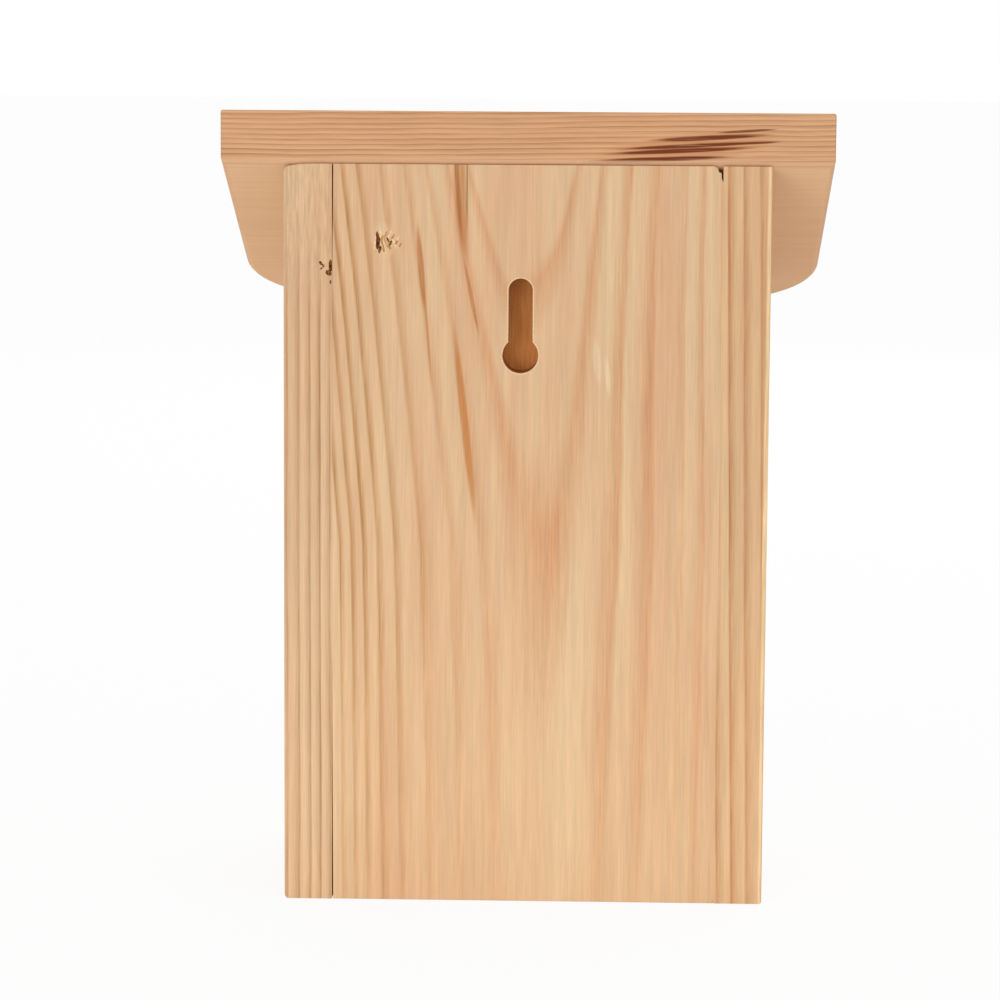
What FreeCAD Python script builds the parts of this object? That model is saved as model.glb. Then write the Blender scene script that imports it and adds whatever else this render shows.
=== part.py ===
"""Bee hotel: a pine box under a single-pitch roof, filled with bamboo canes.

Frame: +Z is up, the open front faces -Y and the side that hangs on a wall faces +Y.
Origin: the middle of the overall box, on the surface that the hotel stands on.
Lengths are millimetres and angles are degrees.
"""
import FreeCAD, Part
import math
import os
import re

import Sketcher
from FreeCAD import Placement, Rotation, Vector

# Driving sizes, each written once: name, value, what it measures
SIZES = [
    ("box_width", 150.0, "outside width over both sides"),
    ("box_depth", 90.0, "rear face to front edge of the sides"),
    ("rear_height", 230.5, "height of the box at its rear face"),
    ("board_thickness", 15.0, "planed stock of the roof, sides, back, floor and rail"),
    ("roof_slope", 24.0, "fall of the roof towards the front, in degrees"),
    ("side_overhang", 19.2, "roof past each side"),
    ("front_overhang", 20.0, "roof underside past the front of the box, measured level"),
    ("corner_radius", 33.0, "rounded front corners of the roof"),
    ("under_arris", 2.0, "eased edges around the underside of the roof"),
    ("roof_arris", 0.6, "crisper edges around the top and at the rear corners of the roof"),
    ("box_arris", 1.4, "eased edges around the outer face of each side"),
    ("front_arris", 1.0, "eased front edges of the floor, shelf and rail"),
    ("rail_drop", 3.0, "rail underside below the lowest edge of the roof underside"),
    ("shelf_thickness", 10.0, "thinner stock of the shelf"),
    ("shelf_setback", 4.0, "shelf front edge behind the front of the box"),
    ("lower_cell", 77.0, "clear height between floor and shelf"),
    ("keyhole_offset", 1.8, "keyhole beside the middle of the back"),
    ("keyhole_height", 172.0, "centre of the round entry above the base"),
    ("keyhole_travel", 20.0, "entry centre to the end of the slot's centre line"),
    ("keyhole_entry", 11.0, "diameter that the screw head passes"),
    ("keyhole_slot", 7.4, "width that the screw neck slides in"),
    ("keyhole_lip", 5.0, "wood between the rear face and the undercut"),
    ("keyhole_depth", 10.0, "rear face to the floor of the undercut"),
    ("nail_diameter", 2.0, "nail shank"),
    ("nail_length", 35.0, "head to point"),
    ("nail_head", 3.8, "nail head diameter"),
    ("nail_head_height", 0.9, "nail head thickness"),
    ("nail_margin", 18.0, "first and last nail from the ends of the board that they hold"),
    ("rail_nail_height", 6.0, "nail above the underside of the rail"),
    ("screw_diameter", 3.5, "roof screw shank"),
    ("screw_length", 35.0, "roof screw, head to point"),
    ("screw_head", 7.0, "countersunk head diameter"),
    ("screw_head_height", 2.4, "countersunk head height"),
    ("screw_margin", 22.0, "roof screws from the front and rear ends of the side tops, measured level"),
    ("pilot_clearance", 0.05, "room around nails and screws in their holes"),
    ("cane_clearance", 0.3, "room between canes and what they lie on"),
    ("cane_setback", 2.5, "longest cane end behind the front of the box"),
    ("cane_stagger", 1.0, "step between the uneven front ends of the canes"),
    ("cane_septum", 6.0, "closed joint of the bamboo at the rear end"),
    ("giant_diameter", 25.0, "giant cane, outside"),
    ("giant_bore", 10.0, "giant cane, nest bore"),
    ("thick_diameter", 23.0, "thick cane, outside"),
    ("thick_bore", 9.0, "thick cane, nest bore"),
    ("stout_diameter", 21.0, "stout cane, outside"),
    ("stout_bore", 8.0, "stout cane, nest bore"),
    ("middle_diameter", 19.0, "middle cane, outside"),
    ("middle_bore", 7.0, "middle cane, nest bore"),
    ("slim_diameter", 16.5, "slim cane, outside"),
    ("slim_bore", 5.4, "slim cane, nest bore"),
    ("thin_diameter", 14.5, "thin cane, outside"),
    ("thin_bore", 4.6, "thin cane, nest bore"),
    ("fine_diameter", 12.5, "fine cane, outside"),
    ("fine_bore", 3.8, "fine cane, nest bore"),
]

# Cane sizes from the largest down, and the order, repeated, in which each cell is filled
CANE_SIZES = ["giant", "thick", "stout", "middle", "slim", "thin", "fine"]
LOWER_ORDER = ["giant", "fine", "stout", "middle", "stout", "slim", "stout", "fine", "giant"]
UPPER_ORDER = [
    "thick", "thick", "thin", "thin", "thick", "stout", "middle",
    "middle", "thin", "stout", "thick", "thin", "thick",
]
# Uneven front ends: how many lengths there are, and how far along them the next cane skips
STAGGER_STEPS = 5
STAGGER_SKIP = 3
TOLERANCE = 1e-6

doc = FreeCAD.newDocument("BeeHotel")
sheet = doc.addObject("Spreadsheet::Sheet", "Sizes")
for row, (alias, number, meaning) in enumerate(SIZES, start=1):
    sheet.set("A%d" % row, alias)
    sheet.set("B%d" % row, str(number))
    sheet.setAlias("B%d" % row, alias)
    sheet.set("C%d" % row, meaning)
doc.recompute()
ALIASES = {alias for alias, number, meaning in SIZES}

# Shared measures, as formulas of the driving sizes
INNER_WIDTH = "(box_width - 2 * board_thickness)"
SIDE_MIDDLE = "(box_width / 2 - board_thickness / 2)"
ROOF_WIDTH = "(box_width + 2 * side_overhang)"
ROOF_LENGTH = "((box_depth + front_overhang) / cos(roof_slope))"
ROUNDING = "roof_arris * (cos(roof_slope) + sin(roof_slope) - 1)"
ROOF_NOSE = "(board_thickness * sin(roof_slope) - %s)" % ROUNDING
REAR = "((box_depth + front_overhang + %s) / 2)" % ROOF_NOSE
FRONT = "(%s - box_depth)" % REAR
BACK_FACE = "(%s - board_thickness)" % REAR
RAIL_BOTTOM = "(rear_height - (box_depth + front_overhang) * tan(roof_slope) - rail_drop)"
SHELF_BOTTOM = "(board_thickness + lower_cell)"
SHELF_TOP = "(%s + shelf_thickness)" % SHELF_BOTTOM


def underside(y):
    """Return the formula for the height of the roof's underside at the depth y."""
    return "(rear_height - (%s - %s) * tan(roof_slope))" % (REAR, y)


def on_sheet(formula):
    """Write each size in a formula as a reference to its cell."""

    def cell(word):
        return "Sizes." + word[0] if word[0] in ALIASES else word[0]

    return re.sub(r"[a-z_]+", cell, formula)


def value(formula):
    """Return what a formula comes to, as a number."""
    result = sheet.evalExpression(on_sheet(formula))
    return float(getattr(result, "Value", result))


def bind(item, **formulas):
    """Let properties of an object follow formulas of the sheet."""
    for name, formula in formulas.items():
        item.setExpression(name, on_sheet(formula))
    return item


def place(item, x, y, z, axis=(0, 0, 1), angle="0"):
    """Let the place of an object, and its turn about an axis, follow formulas of the sheet."""
    item.Placement = Placement(Vector(), Rotation(Vector(*axis), 1))
    for coordinate, formula in zip("xyz", (x, y, z)):
        item.setExpression("Placement.Base." + coordinate, on_sheet(formula))
    item.setExpression("Placement.Rotation.Angle", on_sheet(angle))
    return item


def board(name, profile, width):
    """Make a board from its side view, a list of (y, z) corners, with the width centred on X."""
    body = doc.addObject("PartDesign::Body", name)
    plane = next(feature for feature in body.Origin.OriginFeatures if feature.Role == "YZ_Plane")
    sketch = body.newObject("Sketcher::SketchObject", name + "_profile")
    sketch.AttachmentSupport = (plane, "")
    sketch.MapMode = "FlatFace"
    corners = [Vector(value(y), value(z), 0) for y, z in profile]
    count = len(corners)
    for number, corner in enumerate(corners):
        sketch.addGeometry(Part.LineSegment(corner, corners[(number + 1) % count]), False)
    for number in range(count):
        sketch.addConstraint(Sketcher.Constraint("Coincident", number, 2, (number + 1) % count, 1))
    for number, formulas in enumerate(profile):
        for kind, formula in zip(("DistanceX", "DistanceY"), formulas):
            rule = Sketcher.Constraint(kind, -1, 1, number, 1, value(formula))
            index = sketch.addConstraint(rule)
            sketch.setExpression("Constraints[%d]" % index, on_sheet(formula))
    pad = body.newObject("PartDesign::Pad", name + "_pad")
    pad.Profile = sketch
    pad.SideType = "Symmetric"
    bind(pad, Length=width)
    doc.recompute()
    return body


def ease(body, radius, chosen):
    """Round the edges of a board that the test picks out."""
    base = body.Tip
    edges = base.Shape.Edges
    names = ["Edge%d" % number for number, edge in enumerate(edges, start=1) if chosen(edge.BoundBox)]
    fillet = body.newObject("PartDesign::Fillet", body.Name + "_" + radius)
    fillet.Base = (base, names)
    bind(fillet, Radius=radius)
    doc.recompute()


def is_near(first, second):
    """Tell whether two measures are the same."""
    return abs(first - second) < TOLERANCE


def cut(label, base, tool):
    """Cut a tool from a piece of wood, and make sure that it takes something away."""
    result = doc.addObject("Part::Cut", label)
    result.Label = label
    result.Base = base
    result.Tool = tool
    doc.recompute()
    if result.Shape.Volume > base.Shape.Volume - TOLERANCE:
        raise RuntimeError("nothing was cut from " + label)
    return result


def fuse(name, pieces):
    """Join primitives to one solid."""
    result = doc.addObject("Part::MultiFuse", name)
    result.Shapes = pieces
    return result


def group(label, solids):
    """Keep separate solids together in one object."""
    result = doc.addObject("Part::Compound", label)
    result.Label = label
    result.Links = solids
    return result


def make_roof():
    """Make the roof board: plumb rear edge, square front edge, rounded front corners."""
    profile = [
        ("-" + ROOF_LENGTH, "0"),
        ("0", "0"),
        ("board_thickness * tan(roof_slope)", "board_thickness"),
        ("-" + ROOF_LENGTH, "board_thickness"),
    ]
    body = board("roof_board", profile, ROOF_WIDTH)
    front = -value(ROOF_LENGTH)
    ease(body, "corner_radius", lambda box: is_near(box.YMax, front) and is_near(box.XLength, 0))
    ease(body, "under_arris", lambda box: is_near(box.ZMax, 0))
    top = value("board_thickness")

    def is_crisp(box):
        is_top = is_near(box.ZMin, top)
        is_rear_corner = box.YMin > -top and is_near(box.XLength, 0) and box.ZLength > top / 2
        return is_top or is_rear_corner

    ease(body, "roof_arris", is_crisp)
    return place(body, "0", REAR, "rear_height", (1, 0, 0), "roof_slope")


def make_side(name, hand):
    """Make one side board, with its top cut to the slope; hand is -1 for left and 1 for right."""
    profile = [(FRONT, "0"), (REAR, "0"), (REAR, "rear_height"), (FRONT, underside(FRONT))]
    body = board(name, profile, "board_thickness")
    outer = hand * value("board_thickness") / 2
    ease(body, "box_arris", lambda box: is_near(box.XMin, outer) and is_near(box.XMax, outer))
    return place(body, "%d * %s" % (hand, SIDE_MIDDLE), "0", "0")


def make_back():
    """Make the back board, between the sides, with its top cut to the slope."""
    profile = [(BACK_FACE, "0"), (REAR, "0"), (REAR, "rear_height"), (BACK_FACE, underside(BACK_FACE))]
    return board("back_board", profile, INNER_WIDTH)


def make_rail():
    """Make the front rail, with its top cut to the slope."""
    rear = "(%s + board_thickness)" % FRONT
    profile = [(FRONT, RAIL_BOTTOM), (rear, RAIL_BOTTOM), (rear, underside(rear)), (FRONT, underside(FRONT))]
    body = board("rail_board", profile, INNER_WIDTH)
    ease_front_edges(body)
    return body


def make_flat(name, front, low, high):
    """Make a level board between the sides, from a front edge to the back panel."""
    profile = [(front, low), (BACK_FACE, low), (BACK_FACE, high), (front, high)]
    body = board(name, profile, INNER_WIDTH)
    ease_front_edges(body)
    return body


def ease_front_edges(body):
    """Round the long edges at the front of a board."""
    front = body.Shape.BoundBox.YMin
    ease(body, "front_arris", lambda box: is_near(box.YMax, front) and box.XLength > TOLERANCE)


def make_keyhole_cutter():
    """Make the path of the keyhole cutter: round entry, narrow slot, wide undercut behind the lip."""

    def bore(name, diameter, height, mouth, depth):
        cylinder = bind(doc.addObject("Part::Cylinder", name), Radius=diameter + " / 2", Height=depth)
        return place(cylinder, "keyhole_offset", mouth, height, (1, 0, 0), "90")

    def channel(name, width, mouth, depth):
        block = doc.addObject("Part::Box", name)
        bind(block, Length=width, Width=depth, Height="keyhole_travel")
        corner = "(%s - %s)" % (mouth, depth)
        return place(block, "keyhole_offset - %s / 2" % width, corner, "keyhole_height")

    slot_end = "keyhole_height + keyhole_travel"
    lip = "(%s - keyhole_lip)" % REAR
    pocket = "(keyhole_depth - keyhole_lip)"
    pieces = [
        bore("keyhole_entry_bore", "keyhole_entry", "keyhole_height", REAR, "keyhole_depth"),
        channel("keyhole_neck", "keyhole_slot", REAR, "keyhole_depth"),
        bore("keyhole_neck_end", "keyhole_slot", slot_end, REAR, "keyhole_depth"),
        channel("keyhole_undercut", "keyhole_entry", lip, pocket),
        bore("keyhole_undercut_end", "keyhole_entry", slot_end, lip, pocket),
    ]
    return fuse("keyhole_cutter", pieces)


def nail_places():
    """List each nail as (hand, y, z): through a side into the back, floor, shelf and rail."""
    back_middle = "(%s - board_thickness / 2)" % REAR
    rows = [
        (back_middle, "nail_margin + board_thickness"),
        (back_middle, "rear_height / 2"),
        (back_middle, underside(BACK_FACE) + " - nail_margin"),
        (FRONT + " + nail_margin", "board_thickness / 2"),
        (BACK_FACE + " - nail_margin", "board_thickness / 2"),
        (FRONT + " + nail_margin", SHELF_BOTTOM + " + shelf_thickness / 2"),
        (BACK_FACE + " - nail_margin", SHELF_BOTTOM + " + shelf_thickness / 2"),
        (FRONT + " + board_thickness / 2", RAIL_BOTTOM + " + rail_nail_height"),
    ]
    return [(hand, y, z) for hand in (-1, 1) for y, z in rows]


def make_nails(label, clearance):
    """Make all nails, or with a clearance the holes that they sit in."""
    nails = []
    for number, (hand, y, z) in enumerate(nail_places(), start=1):
        name = "%s_%02d" % (label, number)
        shank = bind(
            doc.addObject("Part::Cylinder", name + "_shank"),
            Radius="nail_diameter / 2 + " + clearance,
            Height="nail_length + " + clearance,
        )
        head = bind(
            doc.addObject("Part::Cylinder", name + "_head"),
            Radius="nail_head / 2 + " + clearance,
            Height="nail_head_height + " + clearance,
        )
        nail = fuse(name, [shank, head])
        nails.append(place(nail, "%d * box_width / 2" % hand, y, z, (0, 1, 0), "%d" % (-90 * hand)))
    return group(label, nails)


def screw_places():
    """List each roof screw as (x, y) of the point where it crosses the underside of the roof."""
    rows = [REAR + " - screw_margin", FRONT + " + screw_margin"]
    return [("%d * %s" % (hand, SIDE_MIDDLE), "(%s)" % y) for hand in (-1, 1) for y in rows]


def make_screws(label, clearance):
    """Make all roof screws, square to the roof, or with a clearance the holes that they sit in."""
    screws = []
    for number, (x, y) in enumerate(screw_places(), start=1):
        name = "%s_%02d" % (label, number)
        shank = bind(
            doc.addObject("Part::Cylinder", name + "_shank"),
            Radius="screw_diameter / 2 + " + clearance,
            Height="screw_length + " + clearance,
        )
        head = bind(
            doc.addObject("Part::Cone", name + "_head"),
            Radius1="screw_head / 2 + " + clearance,
            Radius2="screw_diameter / 2 + " + clearance,
            Height="screw_head_height + " + clearance,
        )
        screw = fuse(name, [shank, head])
        top_y = "%s - board_thickness * sin(roof_slope)" % y
        top_z = underside(y) + " + board_thickness * cos(roof_slope)"
        screws.append(place(screw, x, top_y, top_z, (1, 0, 0), "180 + roof_slope"))
    return group(label, screws)


def circle_meetings(first, second):
    """Return the points that lie on both circles, each given as (x, z, radius)."""
    x1, z1, r1 = first
    x2, z2, r2 = second
    apart = math.hypot(x2 - x1, z2 - z1)
    if apart < TOLERANCE or apart > r1 + r2 or apart < abs(r1 - r2):
        return []
    along = (apart * apart + r1 * r1 - r2 * r2) / (2 * apart)
    aside = math.sqrt(max(r1 * r1 - along * along, 0.0))
    ux, uz = (x2 - x1) / apart, (z2 - z1) / apart
    middle = (x1 + ux * along, z1 + uz * along)
    return [(middle[0] - side * uz * aside, middle[1] + side * ux * aside) for side in (-1, 1)]


def lowest_place(radius, laid, width, height):
    """Return the lowest free centre for a cane in a cell, or None when it has no room."""
    rings = [(x, z, other + radius) for x, z, other in laid]
    spots = [(radius, radius), (width - radius, radius)]
    for x, z, reach in rings:
        drop = reach * reach - (z - radius) ** 2
        if drop >= 0:
            spots += [(x + side * math.sqrt(drop), radius) for side in (-1, 1)]
        for wall in (radius, width - radius):
            rise = reach * reach - (x - wall) ** 2
            if rise >= 0:
                spots.append((wall, z + math.sqrt(rise)))
    for number, ring in enumerate(rings):
        for other in rings[:number]:
            spots += circle_meetings(ring, other)

    def is_free(spot):
        x, z = spot
        if not radius - TOLERANCE <= x <= width - radius + TOLERANCE:
            return False
        if not radius - TOLERANCE <= z <= height - radius + TOLERANCE:
            return False
        return all(math.hypot(x - a, z - b) >= reach - TOLERANCE for a, b, reach in rings)

    free = [spot for spot in spots if is_free(spot)]
    return min(free, key=lambda spot: (spot[1], spot[0])) if free else None


def lay_canes(width, height, order):
    """Lay canes in a cell one after another, each as low as it goes; return (size, x, z) of each."""
    room = value("cane_clearance") / 2
    laid = []
    canes = []
    while True:
        wanted = order[len(canes) % len(order)]
        for size in CANE_SIZES[CANE_SIZES.index(wanted):]:
            radius = value(size + "_diameter") / 2 + room
            spot = lowest_place(radius, laid, width - 2 * room, height - 2 * room)
            if spot:
                break
        if not spot:
            return canes
        laid.append((spot[0], spot[1], radius))
        canes.append((size, spot[0] + room, spot[1] + room))


def make_cane(number, size, x, z):
    """Make one cane: a tube along Y with its bore open to the front and closed at the rear."""
    label = "cane_%02d" % number
    steps = number * STAGGER_SKIP % STAGGER_STEPS
    length = "(box_depth - board_thickness - cane_clearance - cane_setback - %d * cane_stagger)" % steps
    stem = bind(
        doc.addObject("Part::Cylinder", label + "_stem"),
        Radius=size + "_diameter / 2",
        Height=length,
    )
    bore = bind(
        doc.addObject("Part::Cylinder", label + "_bore"),
        Radius=size + "_bore / 2",
        Height=length + " - cane_septum",
    )
    place(bore, "0", "0", "cane_septum")
    cane = cut(label, stem, bore)
    rear = value(BACK_FACE + " - cane_clearance")
    cane.Placement = Placement(Vector(x, rear, z), Rotation(Vector(1, 0, 0), 90))
    return cane


# Fasteners, and the holes that fit them
side_nails = make_nails("side_nails", "0")
roof_screws = make_screws("roof_screws", "0")
nail_holes = make_nails("nail_holes", "pilot_clearance")
screw_holes = make_screws("screw_holes", "pilot_clearance")
doc.recompute()

# Wooden pieces
left_drilled = cut("left_drilled", make_side("left_board", -1), nail_holes)
right_drilled = cut("right_drilled", make_side("right_board", 1), nail_holes)
back_drilled = cut("back_drilled", make_back(), nail_holes)
floor_board = make_flat("floor_board", FRONT, "0", "board_thickness")
shelf_board = make_flat("shelf_board", FRONT + " + shelf_setback", SHELF_BOTTOM, SHELF_TOP)
pieces = [
    cut("roof", make_roof(), screw_holes),
    cut("left_side", left_drilled, screw_holes),
    cut("right_side", right_drilled, screw_holes),
    cut("back_panel", back_drilled, make_keyhole_cutter()),
    cut("floor_panel", floor_board, nail_holes),
    cut("shelf", shelf_board, nail_holes),
    cut("front_rail", make_rail(), nail_holes),
    side_nails,
    roof_screws,
]

# Canes: the lower cell first, then the upper one
inner_width = value(INNER_WIDTH)
cells = [("board_thickness", SHELF_BOTTOM, LOWER_ORDER), (SHELF_TOP, RAIL_BOTTOM, UPPER_ORDER)]
cane_number = 0
for low, high, order in cells:
    base = value(low)
    for size, x, z in lay_canes(inner_width, value(high) - base, order):
        cane_number += 1
        pieces.append(make_cane(cane_number, size, x - inner_width / 2, base + z))

doc.recompute()
for item in doc.Objects:
    if "Invalid" in item.State or "Error" in item.State:
        raise RuntimeError("%s did not compute" % item.Label)
for piece in pieces:
    if piece.Shape.isNull() or not piece.Shape.isValid():
        raise RuntimeError("%s has no valid shape" % piece.Label)

os.makedirs("parts", exist_ok=True)
for piece in pieces:
    piece.Shape.exportStep("parts/%s.step" % piece.Label)
print("%d pieces, %d of them canes" % (len(pieces), cane_number))
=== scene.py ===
"""Looks of the bee hotel: planed pine boards, bored bamboo canes, nails and roof screws.

The frame gives every piece its place. Lengths are metres, and MM stands for one millimetre.
+Z is up, the open front faces -Y and the side that hangs on a wall faces +Y.
"""

import math
import random

import bmesh
import bpy
from mathutils import Matrix, Vector


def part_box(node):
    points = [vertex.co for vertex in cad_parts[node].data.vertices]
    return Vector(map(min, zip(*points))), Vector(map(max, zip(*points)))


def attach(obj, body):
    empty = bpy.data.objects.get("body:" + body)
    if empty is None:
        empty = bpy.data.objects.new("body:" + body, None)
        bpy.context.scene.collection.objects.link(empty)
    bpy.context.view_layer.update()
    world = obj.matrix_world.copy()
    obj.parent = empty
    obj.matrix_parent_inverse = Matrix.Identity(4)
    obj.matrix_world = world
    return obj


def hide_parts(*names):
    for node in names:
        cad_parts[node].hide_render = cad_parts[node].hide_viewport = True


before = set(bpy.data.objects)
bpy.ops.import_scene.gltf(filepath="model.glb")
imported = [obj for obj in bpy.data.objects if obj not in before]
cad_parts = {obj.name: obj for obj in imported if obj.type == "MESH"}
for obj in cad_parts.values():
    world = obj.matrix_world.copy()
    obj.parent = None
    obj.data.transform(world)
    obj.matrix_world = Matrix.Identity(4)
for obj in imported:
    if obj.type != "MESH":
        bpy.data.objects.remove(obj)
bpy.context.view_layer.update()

MM = 0.001

# How close points lie that count as one place, and how close they lie when they are merged
NEAR = 0.01 * MM
MERGE = 0.001 * MM

# Measures that the frame gives
back_low, back_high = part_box("back_panel")
floor_low, floor_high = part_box("floor_panel")
rail_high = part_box("front_rail")[1]
roof_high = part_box("roof")[1]
REAR = back_high.y
REAR_HEIGHT = back_high.z
STOCK = floor_high.z - floor_low.z
SLOPE = math.atan2(REAR_HEIGHT - rail_high.z, REAR - rail_high.y)
ROOF_START = Vector((0, REAR, REAR_HEIGHT))
UNDER_ROOF = Vector((0, -math.sin(SLOPE), math.cos(SLOPE)))

# Sizes of the boards that their boxes do not show
ROOF_REACH = 110 * MM
ROOF_CORNER = 33 * MM
ROOF_UNDER_ARRIS = 2 * MM
ROOF_TOP_ARRIS = 0.6 * MM
SOFT_ARRIS = 1.4 * MM
CRISP_ARRIS = 0.7 * MM
SOFT_TOP_ARRIS = 1.8 * MM
CRISP_TOP_ARRIS = 0
FRONT_ARRIS = 1 * MM
FINE_ARRIS = 0.3 * MM

# Seam beside the back that gapes: its width at both ends, and how far it runs from the top and the foot
SEAM_GAPE = 0.42 * MM
SEAM_FROM_TOP = 40 * MM
SEAM_FROM_FOOT = 82 * MM

# Corners broken off the back: distance from the end of the edge, and the way that the break faces
TOP_BREAK = 3.2 * MM
TOP_BREAK_WAY = (-3.2, 2.4, 2.7)
FOOT_BREAK = 0.8 * MM
FOOT_BREAK_WAY = (-0.8, 0.6, -0.8)

# Keyhole in the back
KEYHOLE_X = 1.8 * MM
KEYHOLE_HEIGHT = 172 * MM
KEYHOLE_TRAVEL = 20 * MM
KEYHOLE_ENTRY = 11 * MM
KEYHOLE_SLOT = 7.4 * MM
KEYHOLE_LIP = 5 * MM
KEYHOLE_DEPTH = 10 * MM
KEYHOLE_RIM = 0.45 * MM
KEYHOLE_SIDES = 48

# Bore of a cane by its outside diameter, in millimetres
BORES = {25.0: 10.0, 23.0: 9.0, 21.0: 8.0, 19.0: 7.0, 16.5: 5.4, 14.5: 4.6, 12.5: 3.8}

# The rest of a cane in millimetres: wood behind its bore, place of its knot from the rear end, and how much
# slimmer its skin is than the frame's cane, so that the knot can swell
CANE_SEPTUM = 6
CANE_KNOT = 4
CANE_SLIMMER = 0.4
CANE_SIDES = 40

# How uneven a cane is, as shares of its radius: how oval at least and at most, and how deep its groove is.
# The groove spreads over this angle in radians
LEAST_OVAL = 0.004
MOST_OVAL = 0.02
GROOVES = (0.0, 0.0, 0.02, 0.035)
GROOVE_SPREAD = 0.4

# Where the photograph was taken from: angles in degrees, and the distance behind the rear face
CAMERA_PITCH = -7.258
CAMERA_YAW = -1.612
CAMERA_ROLL = 0.354
CAMERA_PLACE = Vector((-22.49 * MM, REAR + 1075.6 * MM, 264.09 * MM))
CAMERA_LENS = 126
CAMERA_SENSOR = 36

# Soft light from all around, how much more of it comes from -X, and how white the paper floor glows
SKY_LIGHT = 0.84
SKY_TILT = 0.25
PAPER_GLOW = 0.9
FLOOR_SIZE = 40

# Lamps: place, what they face, width and height in metres, and power in watts
LAMPS = {
    "rear_key": ((0.72, 1.25, 0.14), (0, 0.05, 0.1), 0.8, 0.28, 4.7),
    "front_key": ((-0.5, -1.6, 1.0), (0, -0.05, 0.1), 1.2, 1.2, 5),
}


# Small helpers

def paint(code):
    """Turn an sRGB hex value to the linear colour that a shader takes."""
    parts = [int(code[start:start + 2], 16) / 255 for start in (1, 3, 5)]
    linear = [part / 12.92 if part <= 0.04045 else ((part + 0.055) / 1.055) ** 2.4 for part in parts]
    return (*linear, 1.0)


def plug(tree, socket, given):
    """Set a socket to a value, or link it to another socket or to the output of a node."""
    if isinstance(given, bpy.types.Node):
        given = next(output for output in given.outputs if output.enabled)
    if isinstance(given, bpy.types.NodeSocket):
        tree.links.new(given, socket)
    else:
        socket.default_value = given


def node(tree, kind, inputs=None, stops=(), **settings):
    """Add a shader node; inputs maps its sockets, by name or number, to values or other nodes."""
    made = tree.nodes.new("ShaderNode" + kind)
    for name, setting in settings.items():
        setattr(made, name, setting)
    for number, (position, colour) in enumerate(stops):
        elements = made.color_ramp.elements
        element = elements[number] if number < len(elements) else elements.new(position)
        element.position = position
        element.color = colour
    sockets = [socket for socket in made.inputs if socket.enabled]
    for key, given in (inputs or {}).items():
        socket = sockets[key] if isinstance(key, int) else next(each for each in sockets if each.name == key)
        plug(tree, socket, given)
    return made


def grey(value):
    """Return a grey of that strength as a colour."""
    return (value, value, value, 1.0)


def new_material(name):
    """Start a material and return it with its node tree and its surface shader."""
    material = bpy.data.materials.new(name)
    material.use_nodes = True
    return material, material.node_tree, material.node_tree.nodes["Principled BSDF"]


def finish_surface(tree, surface, finish):
    """Give the surface shader its colour, roughness and the rest, by the names of its sockets."""
    for name, given in finish.items():
        plug(tree, surface.inputs[name], given)


def start_clean():
    """Leave edit mode with nothing selected, so that operators act on the next piece alone."""
    if bpy.context.mode != "OBJECT":
        bpy.ops.object.mode_set(mode="OBJECT")
    bpy.ops.object.select_all(action="DESELECT")


def take_up(piece):
    """Make a piece the only selected and active one."""
    start_clean()
    piece.select_set(True)
    bpy.context.view_layer.objects.active = piece


def settle(piece):
    """Put the place, turn and scale of a piece into its mesh."""
    take_up(piece)
    bpy.ops.object.transform_apply(location=True, rotation=True, scale=True)
    return piece


def add_block(name, low, high):
    """Add a block between two corners."""
    low, high = Vector(low), Vector(high)
    start_clean()
    bpy.ops.mesh.primitive_cube_add(size=1, location=(low + high) / 2, scale=high - low)
    block = bpy.context.active_object
    block.name = name
    return settle(block)


def open_mesh(piece):
    """Open a piece in edit mode with all of it selected."""
    take_up(piece)
    bpy.ops.object.mode_set(mode="EDIT")
    bpy.ops.mesh.select_mode(type="EDGE")
    bpy.ops.mesh.select_all(action="SELECT")


def slice_off(piece, point, direction):
    """Cut a piece with a plane and drop what lies on the side that the direction points to."""
    open_mesh(piece)
    bpy.ops.mesh.bisect(
        plane_co=point, plane_no=Vector(direction).normalized(), threshold=MERGE,
        use_fill=True, clear_outer=True,
    )
    start_clean()


def round_edges(piece, radius, segments, chosen):
    """Bevel the edges whose two ends and middle pass a test."""
    open_mesh(piece)
    bpy.ops.mesh.select_all(action="DESELECT")
    mesh = bmesh.from_edit_mesh(piece.data)
    for edge in mesh.edges:
        first, second = (vertex.co for vertex in edge.verts)
        if all(chosen(point) for point in (first, second, (first + second) / 2)):
            edge.select_set(True)
    bmesh.update_edit_mesh(piece.data)
    bpy.ops.mesh.bevel(offset=radius, segments=segments, affect="EDGES")
    start_clean()


def carve(piece, tool):
    """Cut a tool out of a piece; the cut faces keep the material of the tool."""
    take_up(piece)
    cut = piece.modifiers.new("carve", "BOOLEAN")
    cut.operation = "DIFFERENCE"
    cut.solver = "EXACT"
    cut.material_mode = "TRANSFER"
    cut.object = tool
    bpy.ops.object.modifier_apply(modifier=cut.name)
    bpy.data.objects.remove(tool)


def join(name, pieces):
    """Join pieces to one object."""
    start_clean()
    for piece in pieces:
        piece.select_set(True)
    bpy.context.view_layer.objects.active = pieces[0]
    bpy.ops.object.join()
    pieces[0].name = name
    return pieces[0]


def smooth(piece, angle=35):
    """Shade rounded edges smooth and keep broad faces flat."""
    take_up(piece)
    bpy.ops.object.shade_smooth_by_angle(angle=math.radians(angle))
    weight = piece.modifiers.new("weight", "WEIGHTED_NORMAL")
    weight.keep_sharp = True
    bpy.ops.object.modifier_apply(modifier=weight.name)


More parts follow.
